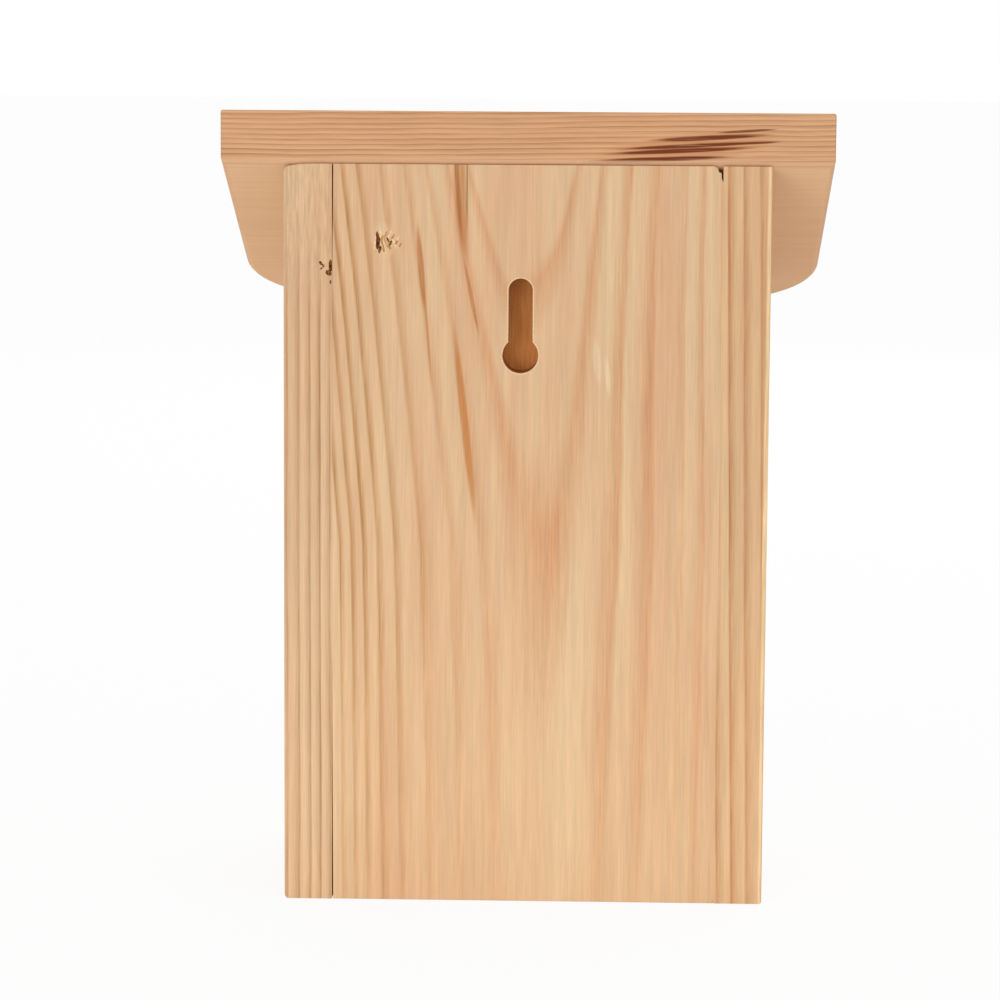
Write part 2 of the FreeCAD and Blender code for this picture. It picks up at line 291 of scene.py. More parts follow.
def spin_profile(name, points, steps):
    """Spin a line of (radius, distance) points in millimetres about Y; distance runs towards -Y."""
    start_clean()
    bpy.ops.mesh.primitive_plane_add(size=MM)
    piece = bpy.context.active_object
    piece.name = name
    bpy.ops.object.mode_set(mode="EDIT")
    bpy.ops.mesh.select_mode(type="VERT")
    bpy.ops.mesh.select_all(action="SELECT")
    bpy.ops.mesh.merge(type="CENTER")
    corners = [Vector((radius, -distance, 0)) * MM for radius, distance in points]
    here = corners[0]
    bpy.ops.transform.translate(value=here)
    for there in corners[1:]:
        bpy.ops.mesh.extrude_vertices_move(TRANSFORM_OT_translate={"value": there - here})
        here = there
    bpy.ops.mesh.select_all(action="SELECT")
    bpy.ops.mesh.spin(steps=steps, angle=math.tau, center=(0, 0, 0), axis=(0, 1, 0))
    bpy.ops.mesh.select_all(action="SELECT")
    bpy.ops.mesh.remove_doubles(threshold=MERGE)
    bpy.ops.mesh.normals_make_consistent(inside=False)
    start_clean()
    return piece


def copy_to(piece, name, matrix):
    """Copy a piece with a mesh of its own, put in place by a matrix."""
    mesh = piece.data.copy()
    mesh.transform(matrix)
    copy = bpy.data.objects.new(name, mesh)
    bpy.context.scene.collection.objects.link(copy)
    return copy


def separate_solids(name):
    """Return the corner points of each separate solid in a node of the frame."""
    mesh = bmesh.new()
    mesh.from_mesh(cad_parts[name].data)
    bmesh.ops.remove_doubles(mesh, verts=mesh.verts, dist=MERGE)
    solids = []
    seen = set()
    for start in mesh.verts:
        if start in seen:
            continue
        seen.add(start)
        found = [start]
        for vertex in found:
            for edge in vertex.link_edges:
                other = edge.other_vert(vertex)
                if other not in seen:
                    seen.add(other)
                    found.append(other)
        solids.append([vertex.co.copy() for vertex in found])
    mesh.free()
    return solids


def dress(piece, body, replaced):
    """Let a finished piece ride on a body in place of a node of the frame."""
    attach(piece, body)
    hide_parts(replaced)


# Wood

# Share of a year's growth at which its wood is darkest
DARKEST = 0.94

# Patterns in a board: length along the grain and width across it in millimetres, and the detail and the
# roughness of the noise. Real fibres are about 3 mm long and 0.03 mm wide; they are drawn 16 mm by 0.5 mm
# to show at all
GRAIN = {
    "tone": (150, 13, 3.0, 0.5),
    "unevenness": (60, 7, 2.0, 0.5),
    "fibre": (16, 0.5, 3.0, 0.6),
    "bands": (80, 2.4, 2.0, 0.5),
}
WANDER_WIDTH = 26

# How far aside of the heart line, in millimetres, summer wood starts to turn from amber to brown, and where
# it is brown
AMBER_UNTIL = 22
BROWN_FROM = 48

# Slanting fibre at a knot: its lean in degrees, and its sizes along X, Y and Z in millimetres
RUFFLE_LEAN = -16
RUFFLE_SIZES = (0.6667, 1.6667, 6.25)

# Tint of end grain, which drinks in light: it is duller and a little redder
END_GRAIN = "#EBD3BE"

# Crumbs of torn wood, and the fibre that a router leaves across and along the grain, in millimetres. Both
# are drawn coarser than real ones, to show at all
CRUMB = 0.7143
ROUTED_WIDTH = 0.5556
ROUTED_LENGTH = 8.3333


def spread(axes, along, aside):
    """Return the scale of a pattern that is so long along the grain and so wide across it."""
    return tuple(1 / (along if axis == axes[0] else aside) for axis in "XYZ")


def streak(tree, along, aside, start, end, half_width):
    """Return a mask of a slim lens between two (along, aside) points, in millimetres."""
    middle = node(tree, "MapRange", {
        "Value": along, "From Min": start[0], "From Max": end[0], "To Min": start[1], "To Max": end[1],
    }, clamp=False)
    off = node(tree, "Math", {0: aside, 1: middle}, operation="SUBTRACT")
    share = node(tree, "Math", {0: off, 1: half_width}, operation="DIVIDE")
    run = node(tree, "MapRange", {
        "Value": along, "From Min": start[0], "From Max": end[0], "To Min": -1.0, "To Max": 1.0,
    }, clamp=False)
    spot = node(tree, "CombineXYZ", {"X": share, "Y": run})
    reach = node(tree, "VectorMath", {0: spot}, operation="LENGTH")
    return node(tree, "MapRange", {
        "Value": reach, "From Min": 1.0, "From Max": 0.5, "To Min": 0.0, "To Max": 1.0,
    }, interpolation_type="SMOOTHSTEP")


def even_rings(tree, radius, spacing, dark_ring, pale_share=0.5):
    """Shade growth rings at a steady spacing: slowly darker outwards, then abruptly pale.

    dark_ring is the distance of one dark line from the heart, in millimetres like the spacing, and
    pale_share is how much of a year's growth stays pale.
    """
    first = DARKEST - dark_ring / spacing
    turns = node(tree, "Math", {0: radius, 1: 1 / spacing, 2: first}, operation="MULTIPLY_ADD")
    phase = node(tree, "Math", {0: turns}, operation="FRACT")
    year = node(tree, "Math", {0: turns}, operation="FLOOR")
    strength = node(tree, "TexWhiteNoise", {"W": year}, noise_dimensions="1D")
    shade = node(tree, "ValToRGB", {"Fac": phase}, stops=[
        (0.0, grey(0.35)), (0.08, grey(0.0)), (pale_share, grey(0.06)), (pale_share / 2 + 0.55, grey(0.5)),
        (DARKEST, grey(1.0)), (1.0, grey(0.35)),
    ])
    share = node(tree, "MapRange", {"Value": strength.outputs["Value"], "To Min": 0.55, "To Max": 1.0})
    return node(tree, "Math", {0: shade, 1: share}, operation="MULTIPLY")


# Rings that do not widen along the heart line, and lines or wood that stay the same along the grain
NO_SWELL = (0, 100, 0)
NO_FADE = ((-1, 1.0), (1, 1.0))

# How light the back and the sides are at two heights in millimetres: they are a little paler at the foot,
# as painted light from the floor below
BACK_FLOOR_LIGHT = ((40, 1.01), (170, 0.885))
SIDE_FLOOR_LIGHT = ((34, 1.0), (126, 0.885))

# Growth lines of the back, as seen from the wall side, on the left and on the right of its heart.
# Each has its distance from the heart at the top edge, its fades inwards and outwards, all in
# millimetres, and its depth of colour.
HEART_DEPTH = 40
LEFT_LINES = [
    (17.8, 1.2, 2.2, 0.55), (23.9, 1.3, 2.6, 0.52), (30.6, 2.2, 1.1, 0.40), (37.2, 2.4, 1.0, 0.42),
    (44.5, 2.2, 0.9, 0.6), (51.6, 2.0, 0.7, 0.85), (56.5, 1.8, 0.6, 0.95), (60.7, 1.6, 0.5, 1.0),
    (64.2, 1.5, 0.5, 1.0), (67.6, 1.4, 0.5, 0.85),
]
RIGHT_LINES = [
    (16.2, 1.2, 2.4, 0.55), (24.2, 1.3, 2.6, 0.55), (33.2, 3.2, 1.1, 0.62), (41.3, 3.2, 1.1, 0.58),
    (49.8, 2.4, 1.0, 0.36), (55.4, 2.2, 0.8, 0.50), (62.0, 2.2, 0.6, 0.6),
]
LINES_REACH = 72


def back_rings(tree, radius, aside):
    """Shade the growth lines of the back, which close to a point below the keyhole."""
    widest = math.hypot(LINES_REACH, HEART_DEPTH)
    share = node(tree, "MapRange", {"Value": radius, "From Min": HEART_DEPTH, "From Max": widest})
    sides = []
    for lines in (RIGHT_LINES, LEFT_LINES):
        stops = []
        for distance, inwards, outwards, depth in lines:
            places = ((distance - inwards, 0.0), (distance, depth), (distance + outwards, 0.0))
            for place, strength in places:
                radius_there = math.hypot(place, HEART_DEPTH)
                stops.append(((radius_there - HEART_DEPTH) / (widest - HEART_DEPTH), grey(strength)))
        sides.append(node(tree, "ValToRGB", {"Fac": share}, stops=stops))
    left = node(tree, "MapRange", {"Value": aside, "From Min": -0.5, "From Max": 0.5})
    return node(tree, "Mix", {"Factor": left, "A": sides[0], "B": sides[1]}, data_type="RGBA")


def pine(name, tints, axes, heart, rings, swell=NO_SWELL, wave=0.8, wave_length=90, fade=NO_FADE,
         light=NO_FADE, into_board=None, streaks=(), streak_axis="across", streak_limit=None,
         ruffle=None, lit_from_below=None):
    """Planed pine: pale spring wood, warmer summer wood in lines, fine fibre and duller end grain.

    tints are the pale and blush colours and two of summer wood. axes names the grain, width and depth
    directions. heart gives two (along, across, deep) points of the tree's heart line, and swell how the
    rings widen along it: start, length, amount in square millimetres. rings shades the growth lines,
    which wander by wave over wave_length. fade gives the strength of the lines at two places along the
    grain, and light how light the wood is painted at two places, as painted light from the floor below.
    Streaks of resin, of pale wood and of painted highlight are (start, end, half width, depth, colour),
    and the limit gives where across the board they end and where they are whole. ruffle gives where
    along the grain slanting fibre starts and where it is strongest. sanded gives the paler colours
    painted on the lower, rounded arrises and on the face between them, as painted light from below.
    """
    material, tree, surface = new_material(name)
    pale, blush, amber_line, brown_line = (paint(tint) for tint in tints)
    into_board = into_board or Matrix.Identity(4)
    place = node(tree, "TexCoord")
    board = node(tree, "Mapping", {
        "Vector": place.outputs["Object"],
        "Location": into_board.to_translation() / MM,
        "Rotation": into_board.to_euler(),
        "Scale": (1 / MM,) * 3,
    })
    split = node(tree, "SeparateXYZ", {"Vector": board})
    along, across, deep = (split.outputs[axis] for axis in axes)
    patterns = {"wander": (wave_length, WANDER_WIDTH, 2.0, 0.5), **GRAIN}
    noise = {}
    for kind, (long, wide, detail, roughness) in patterns.items():
        drawn_out = node(tree, "VectorMath", {0: board, 1: spread(axes, long, wide)}, operation="MULTIPLY")
        made = node(tree, "TexNoise", {
            "Vector": drawn_out, "Scale": 1.0, "Detail": detail, "Roughness": roughness,
        })
        noise[kind] = made.outputs["Fac"]

    # Distance from the heart line of the tree, which leans and wanders a little
    (top, *top_spot), (foot, *foot_spot) = heart
    offsets = []
    for value, upper, lower in zip((across, deep), top_spot, foot_spot):
        line = node(tree, "MapRange", {
            "Value": along, "From Min": foot, "From Max": top, "To Min": lower, "To Max": upper,
        })
        offsets.append(node(tree, "Math", {0: value, 1: line}, operation="SUBTRACT"))
    spot = node(tree, "CombineXYZ", {"X": offsets[0], "Y": offsets[1]})
    square = node(tree, "VectorMath", {0: spot, 1: spot}, operation="DOT_PRODUCT")
    start, length, amount = swell
    fall = node(tree, "Math", {0: along, 1: 1 / length, 2: -start / length}, operation="MULTIPLY_ADD")
    left = node(tree, "Math", {0: fall}, operation="EXPONENT")
    widening = node(tree, "Math", {0: left, 1: -amount, 2: amount}, operation="MULTIPLY_ADD")
    total = node(tree, "Math", {0: square, 1: widening}, operation="ADD")
    steady = node(tree, "Math", {0: total}, operation="SQRT")
    shift = node(tree, "MapRange", {"Value": noise["wander"], "To Min": -wave, "To Max": wave})
    radius = node(tree, "Math", {0: steady, 1: shift}, operation="ADD")
    lines = rings(tree, radius, offsets[0])

    # Colour: drifting tone, growth lines of uneven strength, streaks, fibre
    tone = node(tree, "MapRange", {"Value": noise["tone"], "From Min": 0.35, "From Max": 0.65})
    wood = node(tree, "Mix", {"Factor": tone, "A": pale, "B": blush}, data_type="RGBA")
    chance = node(tree, "MapRange", {
        "Value": noise["unevenness"], "From Min": 0.3, "From Max": 0.7, "To Min": 0.7, "To Max": 1.15,
    })
    broken = node(tree, "MapRange", {
        "Value": noise["fibre"], "From Min": 0.3, "From Max": 0.7, "To Min": 1.2, "To Max": 0.75,
    })
    lengthwise = []
    for (here, value_here), (there, value_there) in (fade, light):
        lengthwise.append(node(tree, "MapRange", {
            "Value": along, "From Min": here, "From Max": there, "To Min": value_here, "To Max": value_there,
        }))
    steady_share, floor_light_paint = lengthwise
    whole = node(tree, "Math", {0: chance, 1: steady_share}, operation="MULTIPLY")
    strength = node(tree, "Math", {0: whole, 1: broken}, operation="MULTIPLY")
    depth = node(tree, "Math", {0: lines, 1: strength}, operation="MULTIPLY", use_clamp=True)
    brown = node(tree, "MapRange", {"Value": offsets[0], "From Min": AMBER_UNTIL, "From Max": BROWN_FROM})
    summer = node(tree, "Mix", {"Factor": brown, "A": amber_line, "B": brown_line}, data_type="RGBA")
    wood = node(tree, "Mix", {"Factor": depth, "A": wood, "B": summer}, data_type="RGBA")
    side = {"across": across, "deep": deep}[streak_axis]
    for start_point, end_point, half_width, strong, tint in streaks:
        mask = streak(tree, along, side, start_point, end_point, half_width)
        ragged = node(tree, "MapRange", {
            "Value": noise["fibre"], "From Min": 0.3, "From Max": 0.55,
            "To Min": 0.5 * strong, "To Max": strong,
        })
        if streak_limit:
            inside = node(tree, "MapRange", {
                "Value": across, "From Min": streak_limit[0], "From Max": streak_limit[1],
            })
            mask = node(tree, "Math", {0: mask, 1: inside}, operation="MULTIPLY")
        soaked = node(tree, "Math", {0: mask, 1: ragged}, operation="MULTIPLY", use_clamp=True)
        wood = node(tree, "Mix", {"Factor": soaked, "A": wood, "B": paint(tint)}, data_type="RGBA")
    fine = node(tree, "MapRange", {
        "Value": noise["fibre"], "From Min": 0.25, "From Max": 0.75, "To Min": 0.9, "To Max": 1.07,
    })
    coarse = node(tree, "MapRange", {
        "Value": noise["bands"], "From Min": 0.3, "From Max": 0.7, "To Min": 0.94, "To Max": 1.05,
    })
    grain = node(tree, "Math", {0: fine, 1: coarse}, operation="MULTIPLY")
    # Where light is given, the wood is painted paler towards its foot, as painted light from the floor below
    value = node(tree, "Math", {0: grain, 1: floor_light_paint}, operation="MULTIPLY")
    wood = node(tree, "Mix", {"Factor": 1.0, "A": wood, "B": value}, data_type="RGBA", blend_type="MULTIPLY")

    if ruffle:
        slanted = node(tree, "Mapping", {
            "Vector": board,
            "Rotation": (0, math.radians(RUFFLE_LEAN), 0),
            "Scale": tuple(1 / size for size in RUFFLE_SIZES),
        })
        curl = node(tree, "TexNoise", {"Vector": slanted, "Scale": 1.0, "Detail": 3.0})
        curls = node(tree, "MapRange", {
            "Value": curl.outputs["Fac"], "From Min": 0.32, "From Max": 0.68, "To Min": 0.87, "To Max": 1.09,
        })
        ruffled = node(tree, "MapRange", {"Value": along, "From Min": ruffle[0], "From Max": ruffle[1]})
        wood = node(tree, "Mix", {
            "Factor": ruffled, "A": wood, "B": curls,
        }, data_type="RGBA", blend_type="MULTIPLY")

    facing = node(tree, "SeparateXYZ", {"Vector": place.outputs["Normal"]})
    square_on = node(tree, "Math", {0: facing.outputs[axes[0]]}, operation="ABSOLUTE")
    sawn = node(tree, "MapRange", {"Value": square_on, "From Min": 0.6, "From Max": 0.9})
    wood = node(tree, "Mix", {
        "Factor": sawn, "A": wood, "B": paint(END_GRAIN),
    }, data_type="RGBA", blend_type="MULTIPLY")

    # Painted light from below: the lower arrises, which look down a little, and the underside are painted
    # paler
    if lit_from_below:
        arris, underside = (paint(tint) for tint in lit_from_below)
        turned = node(tree, "MapRange", {"Value": facing.outputs["Z"], "From Min": -0.08, "From Max": -0.3})
        under = node(tree, "MapRange", {"Value": facing.outputs["Z"], "From Min": -0.75, "From Max": -0.9})
        low_down = node(tree, "MapRange", {"Value": deep, "From Min": 2.3, "From Max": 1.7})
        lit_arris = node(tree, "Math", {0: turned, 1: low_down}, operation="MULTIPLY")
        lit_share = node(tree, "Math", {0: lit_arris, 1: 0.65}, operation="MULTIPLY")
        lit_tint = node(tree, "Mix", {"Factor": under, "A": arris, "B": underside}, data_type="RGBA")
        wood = node(tree, "Mix", {"Factor": lit_share, "A": wood, "B": lit_tint}, data_type="RGBA")

    height = node(tree, "Math", {0: depth, 1: 0.5, 2: noise["fibre"]}, operation="MULTIPLY_ADD")
    finish_surface(tree, surface, {
        "Base Color": wood,
        "Roughness": node(tree, "MapRange", {"Value": noise["fibre"], "To Min": 0.5, "To Max": 0.72}),
        "Normal": node(tree, "Bump", {"Strength": 0.25, "Distance": 0.1 * MM, "Height": height}),
        "Specular IOR Level": 0.3,
    })
    return material


def torn_pine(name, dark, middle, light):
    """Torn pine around a dead knot: broken fibre in three tones."""
    material, tree, surface = new_material(name)
    place = node(tree, "TexCoord")
    crumbs = node(tree, "TexNoise", {
        "Vector": place.outputs["Object"], "Scale": 1 / (CRUMB * MM), "Detail": 4.0,
    })
    colour = node(tree, "ValToRGB", {"Fac": crumbs.outputs["Fac"]}, stops=[
        (0.35, paint(dark)), (0.5, paint(middle)), (0.68, paint(light)),
    ])
    bump = node(tree, "Bump", {"Strength": 0.6, "Distance": 0.3 * MM, "Height": crumbs.outputs["Fac"]})
    finish_surface(tree, surface, {
        "Base Color": colour, "Roughness": 0.85, "Normal": bump, "Specular IOR Level": 0.2,
    })
    return material


def routed_pine():
    """Pine freshly cut by a router: warm, with short torn fibre, and walls painted dark as painted shade."""
    material, tree, surface = new_material("routed_pine")
    place = node(tree, "TexCoord")
    stretched = node(tree, "Mapping", {
        "Vector": place.outputs["Object"],
        "Scale": tuple(1 / (size * MM) for size in (ROUTED_WIDTH, ROUTED_WIDTH, ROUTED_LENGTH)),
    })
    fibre = node(tree, "TexNoise", {"Vector": stretched, "Scale": 1.0, "Detail": 3.0})
    colour = node(tree, "ValToRGB", {"Fac": fibre.outputs["Fac"]}, stops=[
        (0.3, paint("#D98A45")), (0.55, paint("#E39852")), (0.75, paint("#EEAB66")),
    ])
    facing = node(tree, "SeparateXYZ", {"Vector": place.outputs["Normal"]})
    square_on = node(tree, "Math", {0: facing.outputs["Y"]}, operation="ABSOLUTE")
    # Walls of the keyhole are painted dark: painted shade inside the recess
    wall = node(tree, "MapRange", {"Value": square_on, "From Min": 0.7, "From Max": 0.4, "To Max": 0.75})
    colour = node(tree, "Mix", {"Factor": wall, "A": colour, "B": paint("#8F521D")}, data_type="RGBA")
    bump = node(tree, "Bump", {"Strength": 0.5, "Distance": 0.2 * MM, "Height": fibre.outputs["Fac"]})
    finish_surface(tree, surface, {
        "Base Color": colour, "Roughness": 0.75, "Normal": bump, "Specular IOR Level": 0.25,
    })
    return material


# Other materials

# Patterns in bamboo, in millimetres: length along the cane and width across it of its fibre and of its
# freckles, the spacing of the fibre bundles in its sawn ends, and the breadth of the saw's shading. Real
# bundles are about 0.4 mm apart and would not show, so they are drawn 1 mm apart
BAMBOO_FIBRE = (33.333, 0.625)
BAMBOO_FRECKLE = (20, 6.25)
BAMBOO_BUNDLE = 1.0
BAMBOO_SAW = 4.5455

# How far apart in millimetres the patterns of two canes are taken from, at most
CANES_APART = 300

# Distance from a cane's rear end, in millimetres, at which its bore is still pale and at which it is painted
# brown, as painted shade deep in the bore
BORE_SHADE_START = 71
BORE_SHADE_FULL = 58

# Share of a cane's radius beyond which its wall is skin and not bore
SKIN_FROM = 0.8

# Size of the stains on steel in millimetres
STAIN = 1.1111


def bamboo():
    """Dried bamboo: waxy straw skin with fine fibre, sawn ends dotted with fibre bundles.

    The stem attribute holds millimetres from the cane's axis and, in Y, from its rear end. The girth
    attribute is the radius of the skin and tone is each cane's own ripeness.
    """
    material, tree, surface = new_material("dried_bamboo")
    stem = node(tree, "Attribute", attribute_name="stem")
    girth = node(tree, "Attribute", attribute_name="girth")
    tone = node(tree, "Attribute", attribute_name="tone")
    split = node(tree, "SeparateXYZ", {"Vector": stem.outputs["Vector"]})
    flat = node(tree, "CombineXYZ", {"X": split.outputs["X"], "Y": split.outputs["Z"]})
    reach = node(tree, "VectorMath", {0: flat}, operation="LENGTH")
    share = node(tree, "Math", {0: reach, 1: girth.outputs["Fac"]}, operation="DIVIDE")

    # Skin: each cane has its own straw colour, drawn out in fibres, with a few brown freckles
    ripeness = node(tree, "ValToRGB", {"Fac": tone.outputs["Fac"]}, stops=[
        (0.0, paint("#BDA469")), (0.3, paint("#DEC692")), (0.55, paint("#CFAE70")),
        (0.8, paint("#B98F52")), (1.0, paint("#A98F5A")),
    ])
    apart = node(tree, "Math", {0: tone.outputs["Fac"], 1: CANES_APART}, operation="MULTIPLY")
    own = node(tree, "VectorMath", {0: stem.outputs["Vector"], 1: apart}, operation="ADD")
    threads = node(tree, "VectorMath", {0: own, 1: spread("YXZ", *BAMBOO_FIBRE)}, operation="MULTIPLY")
    fibre = node(tree, "TexNoise", {"Vector": threads, "Scale": 1.0, "Detail": 3.0})
    value = node(tree, "MapRange", {
        "Value": fibre.outputs["Fac"], "From Min": 0.3, "From Max": 0.7, "To Min": 0.84, "To Max": 1.1,
    })
    skin = node(tree, "Mix", {
        "Factor": 1.0, "A": ripeness, "B": value,
    }, data_type="RGBA", blend_type="MULTIPLY")
    patches = node(tree, "VectorMath", {0: own, 1: spread("YXZ", *BAMBOO_FRECKLE)}, operation="MULTIPLY")
    mottle = node(tree, "TexNoise", {"Vector": patches, "Scale": 1.0, "Detail": 4.0})
    stained = node(tree, "MapRange", {
        "Value": mottle.outputs["Fac"], "From Min": 0.52, "From Max": 0.75, "To Max": 0.55,
    })
    skin = node(tree, "Mix", {"Factor": stained, "A": skin, "B": paint("#8F6B3A")}, data_type="RGBA")
    scar = node(tree, "MapRange", {
        "Value": split.outputs["Y"], "From Min": CANE_KNOT + 0.6, "From Max": CANE_KNOT - 0.6,
    })
    skin = node(tree, "Mix", {"Factor": scar, "A": skin, "B": paint("#7D5F37")}, data_type="RGBA")

    # Sawn ends: bundles of fibre crowd towards the skin
    cells = node(tree, "TexVoronoi", {"Vector": flat, "Scale": 1 / BAMBOO_BUNDLE})
    dot = node(tree, "MapRange", {
        "Value": cells.outputs["Distance"], "From Min": 0.42, "From Max": 0.2,
    }, interpolation_type="SMOOTHSTEP")
    crowd = node(tree, "MapRange", {
        "Value": share, "From Min": 0.4, "From Max": 0.85, "To Min": 0.25, "To Max": 0.9,
    })
    dots = node(tree, "Math", {0: dot, 1: crowd}, operation="MULTIPLY")
    flesh = node(tree, "ValToRGB", {"Fac": share}, stops=[
        (0.3, paint("#EDDCB6")), (0.6, paint("#E2C99C")), (0.8, paint("#CDA970")), (0.88, paint("#A8834B")),
        (0.93, paint("#7A5C30")),
    ])
    end = node(tree, "Mix", {"Factor": dots, "A": flesh, "B": paint("#94703C")}, data_type="RGBA")
    saw = node(tree, "TexNoise", {"Vector": own, "Scale": 1 / BAMBOO_SAW, "Detail": 2.0})
    shade = node(tree, "MapRange", {
        "Value": saw.outputs["Fac"], "From Min": 0.3, "From Max": 0.7, "To Min": 0.88, "To Max": 1.05,
    })
    end = node(tree, "Mix", {"Factor": 1.0, "A": end, "B": shade}, data_type="RGBA", blend_type="MULTIPLY")
    end = node(tree, "Mix", {"Factor": 0.2, "A": end, "B": ripeness}, data_type="RGBA")

    # Bore: pale lining, painted brown towards the closed end as painted shade deep in the bore
    bore_shade = node(tree, "MapRange", {
        "Value": split.outputs["Y"], "From Min": BORE_SHADE_START, "From Max": BORE_SHADE_FULL,
    })
    bore = node(tree, "Mix", {
        "Factor": bore_shade, "A": paint("#C9AA74"), "B": paint("#7A5A33"),
    }, data_type="RGBA")

    place = node(tree, "TexCoord")
    facing = node(tree, "SeparateXYZ", {"Vector": place.outputs["Normal"]})
    square_on = node(tree, "Math", {0: facing.outputs["Y"]}, operation="ABSOLUTE")
    is_end = node(tree, "MapRange", {"Value": square_on, "From Min": 0.6, "From Max": 0.8})
    is_skin = node(tree, "Math", {0: share, 1: SKIN_FROM}, operation="GREATER_THAN")
    side = node(tree, "Mix", {"Factor": is_skin, "A": bore, "B": skin}, data_type="RGBA")
    colour = node(tree, "Mix", {"Factor": is_end, "A": side, "B": end}, data_type="RGBA")
    height = node(tree, "Math", {0: dots, 1: fibre.outputs["Fac"]}, operation="ADD")
    finish_surface(tree, surface, {
        "Base Color": colour,
        "Roughness": node(tree, "MapRange", {"Value": is_end, "To Min": 0.42, "To Max": 0.75}),
        "Normal": node(tree, "Bump", {"Strength": 0.3, "Distance": 0.15 * MM, "Height": height}),
        "Specular IOR Level": 0.4,
    })
    return material


def steel(name, tint, stain, roughness):
    """Bare or plated steel: metal with dull stains."""
    material, tree, surface = new_material(name)
    place = node(tree, "TexCoord")
    cloud = node(tree, "TexNoise", {
        "Vector": place.outputs["Object"], "Scale": 1 / (STAIN * MM), "Detail": 4.0,
    })
    colour = node(tree, "ValToRGB", {"Fac": cloud.outputs["Fac"]}, stops=[
        (0.35, paint(stain)), (0.6, paint(tint)),
    ])
    rough = node(tree, "MapRange", {
        "Value": cloud.outputs["Fac"], "From Min": 0.3, "From Max": 0.7,
        "To Min": roughness + 0.15, "To Max": roughness,
    })
    finish_surface(tree, surface, {"Base Color": colour, "Roughness": rough, "Metallic": 1.0})
    return material


# Boards

def model_roof(material):
    """Model the roof board: plumb rear edge, rounded front corners, softer edges underneath."""
    length = ROOF_REACH / math.cos(SLOPE)
    half = roof_high.x
    board = add_block("roof_board", (-half, -length, 0), (half, STOCK * math.tan(SLOPE), STOCK))
    slice_off(board, (0, 0, 0), (0, math.cos(SLOPE), -math.sin(SLOPE)))

    def is_front_corner(point):
        return abs(point.y + length) < NEAR and abs(point.x) > half - NEAR

    def is_under(point):
        return point.z < NEAR

    def is_top_or_rear_corner(point):
        return point.z > STOCK - NEAR or (abs(point.x) > half - NEAR and point.y > 0)

    round_edges(board, ROOF_CORNER, 20, is_front_corner)
    round_edges(board, ROOF_UNDER_ARRIS, 5, is_under)
    round_edges(board, ROOF_TOP_ARRIS, 3, is_top_or_rear_corner)
    board.rotation_euler = (SLOPE, 0, 0)
    board.location = ROOF_START
    settle(board)
    board.data.materials.append(material)
    return board


def model_side(name, hand, top_arris, arris, material):
    """Model a side board with its top cut to the slope; hand is 1 towards +X and -1 towards -X."""
    low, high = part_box("right_side" if hand > 0 else "left_side")
    board = add_block(name, low, high)
    slice_off(board, ROOF_START, UNDER_ROOF)
    outer = hand * max(abs(low.x), abs(high.x))

    def is_outer_top(point):
        is_outer = abs(point.x - outer) < NEAR
        return is_outer and abs((point - ROOF_START).dot(UNDER_ROOF)) < NEAR

    def is_eased(point):
        is_end = point.y > high.y - NEAR or point.y < low.y + NEAR or point.z < NEAR
        return is_end and abs(point.x - outer) < STOCK / 4

    if top_arris:
        round_edges(board, top_arris, 5, is_outer_top)
    round_edges(board, arris, 5, is_eased)
    board.data.materials.append(material)
    return board


def slot_tool(name, diameter, travel, mouth, depth, material):
    """Make a cutter along Y, drawn out upwards by its travel, for the keyhole."""
    start_clean()
    bpy.ops.mesh.primitive_cylinder_add(
        vertices=KEYHOLE_SIDES, radius=diameter / 2, depth=depth,
        location=(KEYHOLE_X, mouth - depth / 2, KEYHOLE_HEIGHT),
        rotation=(math.pi / 2, 0, 0),
    )
    tool = bpy.context.active_object
    tool.name = name
    tool.rotation_euler.rotate_axis("Z", math.pi / KEYHOLE_SIDES)
    settle(tool)
    open_mesh(tool)
    bpy.ops.mesh.select_mode(type="VERT")
    bpy.ops.mesh.select_all(action="DESELECT")
    mesh = bmesh.from_edit_mesh(tool.data)
    for vertex in mesh.verts:
        vertex.select_set(vertex.co.z > KEYHOLE_HEIGHT)
    bmesh.update_edit_mesh(tool.data)
    bpy.ops.transform.translate(value=(0, 0, travel))
    start_clean()
    tool.data.materials.append(material)
    return tool


# How ragged torn places are, as a share of their half width or depth
RAGGED = 0.3


def tear(board, material, x, z, half_width, half_height, depth, lean, seed, raised=False):
    """Tear a small ragged pit into a rear face, or raise a splinter there; millimetres and degrees."""
    start_clean()
    bpy.ops.mesh.primitive_ico_sphere_add(
        subdivisions=2, radius=1, location=(x * MM, REAR, z * MM), rotation=(0, math.radians(lean), 0),
        scale=(half_width * MM, depth * MM, half_height * MM),
    )
    tool = bpy.context.active_object
    settle(tool)
    open_mesh(tool)
    bpy.ops.transform.vertex_random(offset=RAGGED * min(half_width, depth) * MM, seed=seed)
    start_clean()
    tool.data.materials.append(material)
    if raised:
        join(board.name, [board, tool])
    else:
        carve(board, tool)


# Torn places in the rear faces, each with x, height, half width, half height and depth in
# millimetres and its lean in degrees
DARK_SLITS = [
    (45.9, 208.4, 0.5, 1.6, 0.9, 8), (45.8, 206.4, 0.65, 2.2, 1.1, -6), (45.2, 204.3, 0.45, 1.2, 0.7, -16),
    (42.7, 207.3, 0.35, 0.9, 0.5, 30), (41.9, 206.3, 0.4, 1.0, 0.5, -25),
]
PALE_PITS = [
    (44.2, 207.0, 0.7, 1.9, 0.5, 5), (42.9, 205.9, 0.5, 1.4, 0.5, 25), (43.4, 208.8, 0.4, 1.2, 0.4, -20),
    (41.2, 208.2, 0.35, 1.1, 0.4, -35), (40.1, 206.6, 0.35, 0.8, 0.5, -40), (42.1, 204.9, 0.4, 0.8, 0.4, 30),
    (38.9, 205.8, 0.3, 0.7, 0.4, -30), (44.0, 204.4, 0.4, 0.9, 0.4, 10),
]
